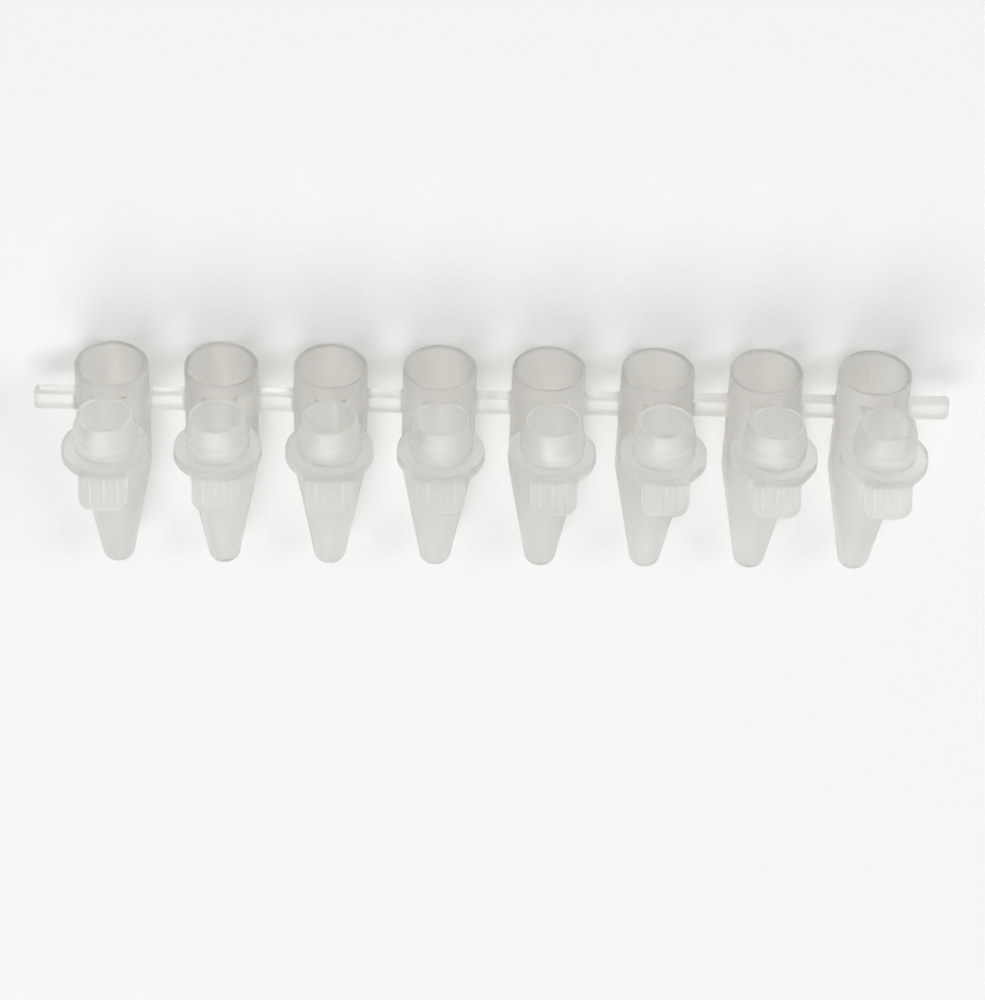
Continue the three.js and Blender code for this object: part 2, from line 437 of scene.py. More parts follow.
def piece_of(surface: Surface, name: str, upright: Upright) -> Piece:
    """A smooth shaded piece in the row frame, with its object at the origin.

    Args:
        surface: The piece's closed surface in upright axes.
        name: The piece's name.
        upright: Where the upright axes lie.

    Returns:
        The piece's object.
    """
    mesh = mesh_of(upright.placed(surface), name)
    mesh.shade_smooth()
    mesh.set_sharp_from_angle(angle=CREASE)
    piece = bpy.data.objects.new(name, mesh)
    bpy.context.scene.collection.objects.link(piece)
    return piece


# --- finishes ------------------------------------------------------------------------------------


class Grain(Enum):
    """How the mould's marks run: what x, y and z of the row frame are multiplied by under them."""

    DRAWN = (1.0, 0.12, 1.0)
    EVEN = (1.0, 1.0, 1.0)
    FLEXED = (0.15, 1.0, 1.0)


@dataclass(frozen=True)
class Polypropylene:
    """Bare polypropylene: clear enough to see through, and milky where it has cooled slowly.

    Attributes:
        name: The material's name.
        slot: The record's material slot; not used.
        grain: How the mould's marks run.
        clarity: The share of light that goes straight on where the plastic is clearest.
        cloud: How much of that share the milkiest places lose.
        smooth: Roughness of the glossiest places.
        dull: Roughness of the dullest places.
        mark_depth: Depth of the mould's broad marks, in millimetres.
        whitened: The share of clarity lost where the plastic has been bent.
        colour: The plastic's own colour.
        milk: What that colour is multiplied by in the milkiest places.
        refraction: The plastic's index of refraction.
        cloud_count: Milky clouds in a metre.
        cloud_range: The noise values between which the plastic turns milky.
        patch_count: Glossy and dull patches in a metre.
        patch_range: The noise values between which the face turns dull.
        ripple_count: The mould's broad marks in a metre.
        mark_count: Its fine marks in a metre.
        fine_share: Depth of the fine marks, as a share of the broad ones'.
    """

    name: str
    slot: str
    grain: Grain
    clarity: float
    cloud: float
    smooth: float
    dull: float
    mark_depth: float
    whitened: float = 0.0
    colour: Colour = (0.972, 0.965, 0.945)
    milk: float = 0.96
    refraction: float = 1.49
    cloud_count: float = 230
    cloud_range: tuple[float, float] = (0.38, 0.68)
    patch_count: float = 640
    patch_range: tuple[float, float] = (0.3, 0.7)
    ripple_count: float = 900
    mark_count: float = 5200
    fine_share: float = 0.15

    def material(self) -> Material:
        """Makes the node material.

        Returns:
            A material whose clarity, roughness and surface marks vary over the piece.
        """
        material = bpy.data.materials.new(self.name)
        material.use_nodes = True
        sheet = NodeSheet(material.node_tree)
        surface = sheet.shader()
        place = sheet.add("ShaderNodeTexCoord").outputs["Object"]
        clouds = sheet.noise(place, self.cloud_count, detail=4, distortion=0.6)
        clear = sheet.ranged(clouds, self.cloud_range, (self.clarity, self.clarity - self.cloud))
        if self.whitened > 0:
            clear = sheet.lessened(clear, sheet.attribute(FLEX_ATTRIBUTE), self.whitened)
        sheet.link(clear, surface.inputs["Transmission Weight"])
        milky = tuple(self.milk * part for part in self.colour)
        sheet.link(sheet.tinted(clouds, self.colour, milky), surface.inputs["Base Color"])
        patches = sheet.noise(place, self.patch_count, detail=5, distortion=0.2)
        rough = sheet.ranged(patches, self.patch_range, (self.smooth, self.dull))
        sheet.link(rough, surface.inputs["Roughness"])
        stretched = sheet.stretched(place, self.grain.value)
        marks = sheet.noise(stretched, self.mark_count, detail=3, distortion=0.0)
        ripple = sheet.noise(stretched, self.ripple_count, detail=2, distortion=0.4)
        fine = sheet.bump(marks, self.fine_share * self.mark_depth * MM, None)
        sheet.link(sheet.bump(ripple, self.mark_depth * MM, fine), surface.inputs["Normal"])
        surface.inputs["IOR"].default_value = self.refraction
        return material


class NodeSheet:
    """A material's node tree, with short ways to add the kinds of node that the finishes use."""

    def __init__(self, tree: bpy.types.NodeTree) -> None:
        """Empties the tree.

        Args:
            tree: The material's node tree.
        """
        self.tree = tree
        tree.nodes.clear()

    def add(self, kind: str) -> bpy.types.Node:
        """Adds a node of a kind."""
        return self.tree.nodes.new(kind)

    def link(self, source: Socket, target: Socket) -> None:
        """Feeds one socket from another."""
        self.tree.links.new(source, target)

    def shader(self) -> bpy.types.Node:
        """Adds the surface shader and its output.

        Returns:
            The shader.
        """
        surface = self.add("ShaderNodeBsdfPrincipled")
        self.link(surface.outputs["BSDF"], self.add("ShaderNodeOutputMaterial").inputs["Surface"])
        return surface

    def noise(self, place: Socket, scale: float, detail: float, distortion: float) -> Socket:
        """Cloudy noise over a place.

        Args:
            place: The coordinates.
            scale: Clouds in a metre.
            detail: Octaves of finer clouds.
            distortion: How far the clouds are stirred.

        Returns:
            A value that is 0.5 on average.
        """
        node = self.add("ShaderNodeTexNoise")
        node.inputs["Scale"].default_value = scale
        node.inputs["Detail"].default_value = detail
        node.inputs["Distortion"].default_value = distortion
        self.link(place, node.inputs["Vector"])
        return node.outputs["Fac"]

    def stretched(self, place: Socket, stretch: tuple[float, float, float]) -> Socket:
        """Coordinates squeezed along each axis, so that a pattern over them is drawn out.

        Args:
            place: The coordinates.
            stretch: What each one is multiplied by.

        Returns:
            The new coordinates.
        """
        node = self.add("ShaderNodeMapping")
        node.inputs["Scale"].default_value = stretch
        self.link(place, node.inputs["Vector"])
        return node.outputs["Vector"]

    def ranged(self, value: Socket, old: tuple[float, float], new: tuple[float, float]) -> Socket:
        """A value carried from one range to another and held inside it.

        Args:
            value: The value.
            old: Start and end of the range that it comes from.
            new: What they become.

        Returns:
            The new value.
        """
        node = self.add("ShaderNodeMapRange")
        names = ("From Min", "From Max", "To Min", "To Max")
        for name, number in zip(names, (*old, *new)):
            node.inputs[name].default_value = number
        self.link(value, node.inputs["Value"])
        return node.outputs["Result"]

    def attribute(self, name: str) -> Socket:
        """The value that a piece's own points hold under a name.

        Args:
            name: The attribute's name.

        Returns:
            The value.
        """
        node = self.add("ShaderNodeAttribute")
        node.attribute_name = name
        return node.outputs["Fac"]

    def lessened(self, value: Socket, share: Socket, loss: float) -> Socket:
        """A value less a share of a loss.

        Args:
            value: The value.
            share: The share of the loss that it bears, from 0 to 1.
            loss: The whole loss.

        Returns:
            The value less share times loss.
        """
        node = self.add("ShaderNodeMath")
        node.operation = "MULTIPLY_ADD"
        self.link(share, node.inputs[0])
        node.inputs[1].default_value = -loss
        self.link(value, node.inputs[2])
        return node.outputs["Value"]

    def tinted(self, value: Socket, first: tuple[float, ...],
               second: tuple[float, ...]) -> Socket:
        """A colour between two, by a value from 0 to 1.

        Args:
            value: The share of the second colour.
            first: The colour at 0.
            second: The colour at 1.

        Returns:
            The mixed colour.
        """
        node = self.add("ShaderNodeMix")
        node.data_type = "RGBA"
        colours = {socket.name: socket for socket in node.inputs if socket.type == "RGBA"}
        colours["A"].default_value = (*first, 1.0)
        colours["B"].default_value = (*second, 1.0)
        self.link(value, node.inputs["Factor"])
        return next(socket for socket in node.outputs if socket.type == "RGBA")

    def bump(self, height: Socket, depth: float, below: Socket | None) -> Socket:
        """A surface raised by a height.

        Args:
            height: The height, from 0 to 1.
            depth: What a height of 1 measures, in metres.
            below: The normal that this one adds to, or None.

        Returns:
            The new normal.
        """
        node = self.add("ShaderNodeBump")
        node.inputs["Distance"].default_value = depth
        self.link(height, node.inputs["Height"])
        if below is not None:
            self.link(below, node.inputs["Normal"])
        return node.outputs["Normal"]


# --- the strip's sub-assemblies ------------------------------------------------------------------


class SubAssembly:
    """A part of the strip whose pieces are all of one plastic."""

    def dress(self, pieces: Sequence[Piece], finish: Polypropylene) -> None:
        """Puts a finish's material on each piece.

        Args:
            pieces: The sub-assembly's pieces.
            finish: Their plastic.
        """
        material = finish.material()
        for piece in pieces:
            piece.data.materials.append(material)


@dataclass(frozen=True)
class TubeRow(SubAssembly):
    """The eight tubes with their web bars, end tabs and hinge lugs: one moulding.

    Attributes:
        upright: Where the upright axes lie.
        height: From the tip to the rim.
        lug_top: Height of the hinge lug's upper face.
        bore: Radius of the bore at the rim.
        draft: How much the bore narrows for each millimetre down to the cone.
        cone_height: Where the cone meets the straight body.
        tip_foot: Radius that the cone would have at its very end.
        tip_soft: Rounding of the tip.
        tip_wall: Thickness at the bottom of the tube.
        bore_foot: Radius that the bore would have at its bottom.
        cone_soft: Rounding between the cone and the body.
        bottom_soft: Rounding at the bottom of the bore.
        lip_soft: Rounding of the rim.
        chamfer: Size of the mouth's chamfer.
        chamfer_soft: Rounding of the chamfer's upper and lower edge.
        web_drop: From the rim to the web's upper face.
        web_height: The web's size along the tube.
        web_thickness: The web's size across the row.
        web_run_in: How much further than a lug the web runs into a tube's wall.
        web_shoulder: How far outside the wall the web has its own thickness.
        web_fillet: Rounding where the web meets the wall.
        web_soft: Rounding of the web's long edges.
        tab_corner: Rounding of an end tab's free corners.
        lug_width: The hinge lug's size along the row.
        lug_face: From the tube's axis to the lug's face.
        lug_thickness: The lug's size along the tube.
        lug_seat: From the lug's back to where it is widest.
        lug_shoulder: How far outside the wall the lug has its own width.
        lug_fillet: Rounding where the lug meets the wall.
        lug_corner: Rounding of the lug's free corners.
        lug_soft: Rounding of its lower and upper edge.
        run_in: How far a lug or a bar runs into a tube's wall.
        flare: How much a lug or a bar widens on each side where it meets the wall.
        segments: Facets round a tube.
    """

    upright: Upright
    height: float
    lug_top: float
    bore: float = 2.70
    draft: float = 0.0122
    cone_height: float = 10.6
    tip_foot: float = 1.194
    tip_soft: float = 0.9
    tip_wall: float = 0.45
    bore_foot: float = 0.944
    cone_soft: float = 3.0
    bottom_soft: float = 0.8
    lip_soft: float = 0.1
    chamfer: float = 0.15
    chamfer_soft: tuple[float, float] = (0.06, 0.1)
    web_drop: float = 2.8
    web_height: float = 1.6
    web_thickness: float = 1.3
    web_run_in: float = 0.04
    web_shoulder: float = 0.05
    web_fillet: float = 0.6
    web_soft: float = 0.14
    tab_corner: float = 0.45
    lug_width: float = 2.8
    lug_face: float = 3.65
    lug_thickness: float = 0.7
    lug_seat: float = 0.1
    lug_shoulder: float = 0.12
    lug_fillet: float = 0.35
    lug_corner: float = 0.25
    lug_soft: tuple[float, float] = (0.12, 0.08)
    run_in: float = 0.2
    flare: float = 0.32
    segments: int = 96

    @property
    def body(self) -> float:
        """Outer radius of the straight body, which lies on the surface below."""
        return self.upright.axis_z

    def tube(self) -> Surface:
        """One tube: a profile up the outside, over the rim and down the bore, turned about t.

        Returns:
            The tube about its own axis.
        """
        cone_bore = self.bore - self.draft * (self.height - self.cone_height)
        corners = [
            (0, 0),
            (self.tip_foot, 0),
            (self.body, self.cone_height),
            (self.body, self.height),
            (self.bore + self.chamfer, self.height),
            (self.bore, self.height - self.chamfer),
            (cone_bore, self.cone_height),
            (self.bore_foot, self.tip_wall),
            (0, self.tip_wall),
        ]
        radii = [
            0, self.tip_soft, self.cone_soft, self.lip_soft, *self.chamfer_soft, self.cone_soft,
            self.bottom_soft, 0,
        ]
        return revolved(softened(corners, radii, steps=7, closed=False), self.segments)

    def lug(self) -> Surface:
        """The lug that carries the strap: a plate whose back follows the tube inside its wall.

        Returns:
            The lug of a tube that stands at the origin.
        """
        half = self.lug_width / 2
        wide = half + self.flare
        back_radius = self.body - self.run_in
        foot = math.sqrt((back_radius + self.lug_seat) ** 2 - wide ** 2)
        shoulder = math.sqrt(self.body ** 2 - half ** 2) + self.lug_shoulder
        angle = np.linspace(math.atan2(foot, -wide), math.atan2(foot, wide), num=17)[1:-1]
        back = back_radius * np.stack([np.cos(angle), np.sin(angle)], axis=1)
        corners = [
            (wide, foot),
            (half, shoulder),
            (half, self.lug_face),
            (-half, self.lug_face),
            (-half, shoulder),
            (-wide, foot),
            *back.tolist(),
        ]
        radii = [0, self.lug_fillet, self.lug_corner, self.lug_corner, self.lug_fillet, 0]
        outline = softened(corners, radii + [0] * len(back))
        return plate(outline, self.lug_top - self.lug_thickness, self.lug_top, *self.lug_soft)

    def web_bar(self) -> Surface:
        """A bar from one tube's wall to the next one's, flared where it meets them.

        Returns:
            The bar from a tube that stands at the origin.
        """
        pitch = float(np.diff(self.upright.columns[:2])[0])
        start = self.body - self.run_in - self.web_run_in
        half, wide = self.web_thickness / 2, self.web_thickness / 2 + self.flare
        shoulder = self.body + self.web_shoulder
        corners = [
            (start, -wide),
            (shoulder, -half),
            (pitch - shoulder, -half),
            (pitch - start, -wide),
            (pitch - start, wide),
            (pitch - shoulder, half),
            (shoulder, half),
            (start, wide),
        ]
        radii = [0, self.web_fillet, self.web_fillet, 0] * 2
        return self._web_plate(softened(corners, radii))

    def tab(self) -> Surface:
        """The tab on the row's +X end, with its free corners rounded.

        Returns:
            The tab of a last tube that stands at the origin.
        """
        start = self.body - self.run_in - self.web_run_in
        end = float(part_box("tube_strip")[1].x) / MM - self.upright.columns[-1]
        half, wide = self.web_thickness / 2, self.web_thickness / 2 + self.flare
        shoulder = self.body + self.web_shoulder
        corners = [
            (start, -wide),
            (shoulder, -half),
            (end, -half),
            (end, half),
            (shoulder, half),
            (start, wide),
        ]
        radii = [0, self.web_fillet, self.tab_corner, self.tab_corner, self.web_fillet, 0]
        return self._web_plate(softened(corners, radii))

    def _web_plate(self, outline: FloatArray) -> Surface:
        """A plate at the web's level."""
        top = self.height - self.web_drop
        return plate(outline, top - self.web_height, top, self.web_soft, self.web_soft)

    def surface(self) -> Surface:
        """The whole moulding as one skin.

        Returns:
            The skin of the eight tubes joined by seven bars, with a tab on each end.
        """
        unit = joined(self.tube(), self.lug())
        units = together([unit.moved((x, 0, 0)) for x in self.upright.columns])
        bar, tab = self.web_bar(), self.tab()
        bars = [bar.moved((x, 0, 0)) for x in self.upright.columns[:-1]]
        tabs = [tab.moved((self.upright.columns[-1], 0, 0)),
                tab.mirrored_in_x().moved((self.upright.columns[0], 0, 0))]
        return joined(units, together(bars + tabs))

    def build(self) -> list[Piece]:
        """Makes the moulding's piece, which stands for its solid and moves with the strip.

        Returns:
            The one piece.
        """
        piece = piece_of(self.surface(), "tube_row", self.upright)
        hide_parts("tube_strip")
        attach(piece, "strip")
        return [piece]


@dataclass(frozen=True)
class FlatCap(SubAssembly):
    """A flat cap: a disc with a hollow plug, a bent thumb tab with grip ribs, and a hinge lug.

    Attributes:
        upright: Where the upright axes lie.
        offset: From the tube's axis to the open cap's axis.
        seat: Height of the disc's plug side.
        radius: The disc's radius.
        thickness: The disc's thickness.
        disc_soft: Rounding of the disc's outer edge and of its edge on the plug's side.
        plug_depth: How far the plug stands out of the disc.
        plug_inside: The plug's inner radius.
        waist: The plug's outer radius between the disc and the sealing bead.
        foot_spread: How much the plug's foot widens, outwards and inwards.
        foot_depth: How far the foot runs into the disc.
        foot_rise: From the disc to where the plug has its own width.
        foot_soft: Rounding of the foot.
        bead: Radius of the sealing bead.
        bead_height: From the disc to the middle of the bead.
        bead_half: Half the width of the bead's flat.
        bead_flank: Length of each of the bead's flanks along the plug.
        bead_soft: Rounding at a flank's foot and at its top.
        lead_in: Radius at the plug's end.
        lead_length: How far the plug's end narrows.
        lead_soft: Rounding where it starts to narrow.
        end_soft: Rounding of the plug's end, outside and inside.
        tab_width: The thumb tab's width.
        tab_length: The tab's length along its slope, from the edge of the disc.
        tab_thickness: The tab's thickness.
        tab_slope: The tab's angle out of the disc's plane, away from the plug.
        tab_angle: Where the disc's edge runs off into the tab, from the tab's middle line.
        tab_root: How far the tab runs into the disc.
        tab_sink: How far the tab's plug side lies below the disc's.
        tab_neck: How far inside the disc's edge the tab has its own width.
        tab_blend: Rounding where the disc's edge runs off, and at the neck.
        tab_corner: Rounding of the tab's free corners.
        tab_soft: Rounding of the tab's end, seen from its side.
        tab_edge: Rounding of its long edges.
        bend: Radius of the bend at the tab's root, on the plug's side.
        bend_rows: How far to each side of the bend the tab's rows lie close.
        lug_width: The hinge lug's width.
        lug_face: From the cap's axis to the lug's face.
        lug_thickness: The hinge lug's thickness.
        lug_sink: How far the lug lies below the disc's plug side.
        lug_flare: How much it widens on each side where it meets the disc.
        lug_foot: How far inside the disc's edge it is widest.
        lug_root: How far it runs in from the disc's edge.
        lug_shoulder: How far from the disc's edge it has its own width.
        lug_fillet: Rounding where it meets the disc.
        lug_corner: Rounding of its free corners.
        lug_soft: Rounding of its lower and upper edge.
        ribs: Count of grip ribs.
        rib_spacing: From one rib to the next.
        rib_size: A rib's width, length and height.
        rib_setback: From a rib's end to the tab's end.
        rib_root: How far a rib runs into the tab.
        rib_corner: Rounding of a rib's corners, seen from above.
        rib_soft: Rounding of its lower and upper edge.
        segments: Facets round the disc and round the plug.
    """

    upright: Upright
    offset: float
    seat: float
    radius: float = 3.55
    thickness: float = 1.0
    disc_soft: tuple[float, float] = (0.16, 0.1)
    plug_depth: float = 3.1
    plug_inside: float = 2.0
    waist: float = 2.52
    foot_spread: float = 0.2
    foot_depth: float = 0.15
    foot_rise: float = 0.1
    foot_soft: float = 0.25
    bead: float = 2.62
    bead_height: float = 1.1
    bead_half: float = 0.25
    bead_flank: float = 0.25
    bead_soft: tuple[float, float] = (0.2, 0.18)
    lead_in: float = 2.22
    lead_length: float = 1.2
    lead_soft: float = 0.5
    end_soft: tuple[float, float] = (0.1, 0.12)
    tab_width: float = 3.9
    tab_length: float = 3.1
    tab_thickness: float = 0.8
    tab_slope: float = math.radians(57)
    tab_angle: float = math.radians(48)
    tab_root: float = 1.9
    tab_sink: float = 0.04
    tab_neck: float = 0.1
    tab_blend: tuple[float, float] = (0.3, 1.0)
    tab_corner: float = 1.1
    tab_soft: float = 0.2
    tab_edge: float = 0.15
    bend: float = 1.1
    bend_rows: float = 0.7
    lug_width: float = 2.8
    lug_face: float = 3.65
    lug_thickness: float = 0.7
    lug_sink: float = 0.02
    lug_flare: float = 0.45
    lug_foot: float = 0.3
    lug_root: float = 1.5
    lug_shoulder: float = 0.12
    lug_fillet: float = 0.3
    lug_corner: float = 0.2
    lug_soft: tuple[float, float] = (0.12, 0.08)
    ribs: int = 3
    rib_spacing: float = 1.1
    rib_size: tuple[float, float, float] = (0.3, 2.1, 0.2)
    rib_setback: float = 0.45
    rib_root: float = 0.2
    rib_corner: float = 0.14
    rib_soft: tuple[float, float] = (0.01, 0.13)
    segments: int = 96

    def disc(self) -> Surface:
        """The disc, from its flat outer face up to its plug side at 0.

        Returns:
            The disc about the cap's axis.
        """
        angle = np.arange(self.segments) * (2 * math.pi / self.segments)
        edge = self.radius * np.stack([np.cos(angle), np.sin(angle)], axis=1)
        return plate(edge, -self.thickness, 0, *self.disc_soft)

    def bent(self, surface: Surface) -> Surface:
        """Bends the flat tab out of the disc's plane at its root.

        A flat point lies at (x, v, t), with v along the tab from the corner where its slope leaves
        the disc. The bend of radius R reaches lead = R tan(slope / 2) to each side of that corner.
        Its angle a grows evenly from 0 to the slope over that reach, and the point comes to
        u = radius - lead + before + (R + t) sin a + past cos slope and
        t = (R + t) cos a - R - past sin slope,
        where before and past are what of v lies before and past the bend.

        Args:
            surface: Parts of the tab as they lie flat.

        Returns:
            The same parts on the slope.
        """
        x, along, high = np.moveaxis(surface.points, -1, 0)
        lead = self.bend * math.tan(self.tab_slope / 2)
        turn = self.tab_slope * np.clip((along + lead) / (2 * lead), 0, 1)
        before = np.minimum(along + lead, 0)
        past = np.maximum(along - lead, 0)
        reach = self.bend + high
        u = self.radius - lead + before + reach * np.sin(turn) + past * math.cos(self.tab_slope)
        t = reach * np.cos(turn) - self.bend - past * math.sin(self.tab_slope)
        return Surface(np.stack([x, u, t], axis=-1), surface.faces)

    def thumb_tab(self) -> Surface:
        """The thumb tab: rounded rectangles along its length, as wide as its outline.

        Over the last r of the length the section is drawn in by r - sqrt(r^2 - l^2), with l the
        way into that stretch, which rounds the tab's end.

        Returns:
            The bent tab, whose root lies inside the disc.
        """
        side, end, soft = self.tab_width / 2, self.tab_length, self.tab_soft
        leaving_x = self.radius * math.sin(self.tab_angle)
        leaving_v = self.radius * (math.cos(self.tab_angle) - 1)
        corners = [
            (leaving_x, -self.tab_root),
            (leaving_x, leaving_v),
            (side, -self.tab_neck),
            (side, end),
            (0, end),
        ]
        radii = [0, *self.tab_blend, self.tab_corner, 0]
        edge = softened(corners, radii, steps=12, closed=False)[:-1]
        rounding = end - soft * (1 - np.sin(np.linspace(0, math.pi / 2, num=6)))
        bending = np.linspace(-self.bend_rows, self.bend_rows, num=15)
        rows = np.concatenate([edge[:, 1], bending, rounding])
        along = np.unique(np.round(rows, decimals=4))
        drawn_in = soft - np.sqrt(soft ** 2 - np.clip(along - end + soft, 0, soft) ** 2)
        half_width = np.interp(along, edge[:, 1], edge[:, 0]) - drawn_in
        half_thickness = self.tab_thickness / 2 - drawn_in
        corner = self.tab_edge
        angle = np.linspace(0, math.pi / 2, num=5) + np.arange(4)[:, None] * (math.pi / 2)
        x_sign, t_sign = np.array([1, -1, -1, 1])[:, None], np.array([1, 1, -1, -1])[:, None]
        x = x_sign * (half_width - corner)[:, None, None] + corner * np.cos(angle)
        t = t_sign * (half_thickness - corner)[:, None, None] + corner * np.sin(angle)
        t -= self.tab_thickness / 2 + self.tab_sink
        rings = np.stack([x, np.broadcast_to(along[:, None, None], x.shape), t], axis=-1)
        return self.bent(sleeve(rings.reshape(len(along), -1, 3)))

    def plug(self) -> Surface:
        """The hollow plug: a ring's profile turned about t, whose foot spreads into the disc.

        Returns:
            The plug about the cap's axis.
        """
        top = self.plug_depth
        bead_foot = self.bead_half + self.bead_flank
        corners = [
            (self.waist + self.foot_spread, -self.foot_depth),
            (self.waist, self.foot_rise),
            (self.waist, self.bead_height - bead_foot),
            (self.bead, self.bead_height - self.bead_half),
            (self.bead, self.bead_height + self.bead_half),
            (self.waist, self.bead_height + bead_foot),
            (self.waist, top - self.lead_length),
            (self.lead_in, top),
            (self.plug_inside, top),
            (self.plug_inside, self.foot_rise),
            (self.plug_inside - self.foot_spread, -self.foot_depth),
        ]
        radii = [
            0, self.foot_soft, *self.bead_soft, *self.bead_soft[::-1], self.lead_soft,
            *self.end_soft, self.foot_soft, 0,
        ]
        return revolved(softened(corners, radii), self.segments)

    def lug(self) -> Surface:
        """The lug on the side away from the tab, just below the disc's plug side.

        Returns:
            The lug, whose root lies inside the disc.
        """
        half = self.lug_width / 2
        wide = half + self.lug_flare
        edge = -math.sqrt(self.radius ** 2 - half ** 2)
        root = self.lug_root - self.radius
        corners = [
            (-wide, edge + self.lug_foot),
            (-half, edge - self.lug_shoulder),
            (-half, -self.lug_face),
            (half, -self.lug_face),
            (half, edge - self.lug_shoulder),
            (wide, edge + self.lug_foot),
            (half, root),
            (-half, root),
        ]
        radii = [0, self.lug_fillet, self.lug_corner, self.lug_corner, self.lug_fillet, 0, 0, 0]
        outline = softened(corners, radii)
        return plate(outline, -self.lug_thickness, -self.lug_sink, *self.lug_soft)

    def grip(self) -> Surface:
        """The grip ribs along the tab's plug side.

        Returns:
            The bent ribs, whose roots lie inside the tab.
        """
        width, length, height = self.rib_size
        half = width / 2
        corners = [(-half, -length), (half, -length), (half, 0), (-half, 0)]
        outline = softened(corners, [self.rib_corner] * 4)
        rib = plate(outline, -self.rib_root, height, *self.rib_soft)
        middle = (np.arange(self.ribs) - (self.ribs - 1) / 2) * self.rib_spacing
        end = self.tab_length - self.rib_setback
        return self.bent(together([rib.moved((x, end, 0)) for x in middle]))

    def surface(self) -> Surface:
        """The cap as one skin, about its own axis."""
        return joined(self.disc(), self.lug(), self.plug(), self.thumb_tab(), self.grip())

    def build(self) -> list[Piece]:
        """Makes the eight caps, each of which stands for its solid and moves with its own body.

        Returns:
            The caps, in order along the row.
        """
        cap = self.surface()
        pieces = []
        for number, x in enumerate(self.upright.columns, start=1):
            placed = cap.moved((x, self.offset, self.seat))
            piece = piece_of(placed, f"flat_cap_{number}", self.upright)
            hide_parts(f"cap_{number}")
            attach(piece, f"cap_{number}")
            pieces.append(piece)
        return pieces


@dataclass(frozen=True)
class LivingHinge(SubAssembly):
    """The thin strap between a tube's lug and its cap's, thinnest along its middle.

    Attributes:
        upright: Where the upright axes lie.
        start: The u where it starts, just inside the tube's lug.
        end: The u where it ends, just inside the cap's lug.
        top: Height of the strap's upper face.
        width: The strap's width at its ends.
        waist: How much narrower it is on each side at its middle.
        thick: Thickness at its ends.
        thin: Thickness at its middle.
        run_in: How far it runs into each lug.
        inset: How far its upper face lies below the lugs'.
        squareness: The power that squares its section: 1 is an ellipse and 0 a sharp rectangle.
        rows: Rows of points along the strap.
        ring: Points round the strap.
    """

    upright: Upright
    start: float
    end: float
    top: float
    width: float = 2.5
    waist: float = 0.08
    thick: float = 0.25
    thin: float = 0.17
    run_in: float = 0.02
    inset: float = 0.05
    squareness: float = 0.3
    rows: int = 41
    ring: int = 56

    @classmethod
    def between(cls, row: TubeRow, caps: FlatCap) -> "LivingHinge":
        """The straps from the tubes' lugs to the open caps'.

        Args:
            row: The tubes.
            caps: Their caps.

        Returns:
            The straps.
        """
        start = row.lug_face - cls.run_in
        end = caps.offset - caps.lug_face + cls.run_in
        return cls(row.upright, start, end, caps.seat - cls.inset)

    def surface(self) -> Surface:
        """One strap about the middle of its own width.

        At a share s from -1 to 1 along the strap, its section is a flat rounded rectangle: the
        point at angle a is (w |cos a|^q sign, h |sin a|^q sign) with q the squareness, where the
        half width w narrows by waist (1 - s^2) and the half thickness h goes from thick at both
        ends to thin in the middle with s^2.

        Returns:
            The closed strap.
        """
        share = np.linspace(-1, 1, self.rows)
        angle = np.arange(self.ring) * (2 * math.pi / self.ring)
        across = np.sign(np.cos(angle)) * np.abs(np.cos(angle)) ** self.squareness
        through = np.sign(np.sin(angle)) * np.abs(np.sin(angle)) ** self.squareness
        half_width = self.width / 2 - self.waist * (1 - share ** 2)
        half_thickness = (self.thin + (self.thick - self.thin) * share ** 2) / 2
        middle = (self.start + self.end) / 2
        x = half_width[:, None] * across
        u = np.broadcast_to(middle + share[:, None] * (self.end - self.start) / 2, x.shape)
        t = self.top - self.thick / 2 + half_thickness[:, None] * through
        return sleeve(np.stack([x, u, t], axis=-1))

    def flexed(self, strap: Surface) -> NDArray[np.float32]:
        """How far each point has been bent: 1 - s^2 at a share s from -1 to 1 along the strap."""
        middle, half = (self.start + self.end) / 2, (self.end - self.start) / 2
        return (1 - ((strap.points[:, 1] - middle) / half) ** 2).astype(np.float32)

    def build(self) -> list[Piece]:
        """Makes the eight straps, each from a tube's lug to its open cap's lug.

        Returns:
            The straps, in order along the row.
        """
        strap = self.surface()
        flexed = self.flexed(strap)
        pieces = []
        for number, x in enumerate(self.upright.columns, start=1):
            piece = piece_of(strap.moved((x, 0, 0)), f"living_hinge_{number}", self.upright)
            bent = piece.data.attributes.new(FLEX_ATTRIBUTE, "FLOAT", "POINT")
            bent.data.foreach_set("value", flexed)
            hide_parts(f"hinge_strap_{number}")
            ends = self.upright.points([(x, self.start, self.top), (x, self.end, self.top)])
            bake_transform(piece)
            pieces.append(piece)
        return pieces


# --- the studio ----------------------------------------------------------------------------------


@dataclass(frozen=True)
class SoftBox:
    """A broad lamp that faces the strip.

    Attributes:
        name: The lamp's name.
        direction: From the strip towards the lamp.
        distance: How far off it stands, in metres.
        size: The side of its square, in metres.
        level: The share of full white that it alone gives a face turned to it.
    """

    name: str
    direction: tuple[float, float, float]
    distance: float
    size: float
    level: float

    def build(self) -> bpy.types.Object:
        """Makes the lamp, with a power of level times pi^2 distance^2.

        Returns:
            The lamp's object.
        """
        lamp = bpy.data.lights.new(self.name, "AREA")
        lamp.shape = "SQUARE"
        lamp.size = self.size
        lamp.energy = self.level * math.pi ** 2 * self.distance ** 2
        holder = bpy.data.objects.new(self.name, lamp)
        towards = Vector(self.direction).normalized()
        holder.location = towards * self.distance
        holder.rotation_euler = towards.to_track_quat("Z", "Y").to_euler()
        bpy.context.scene.collection.objects.link(holder)
        return holder


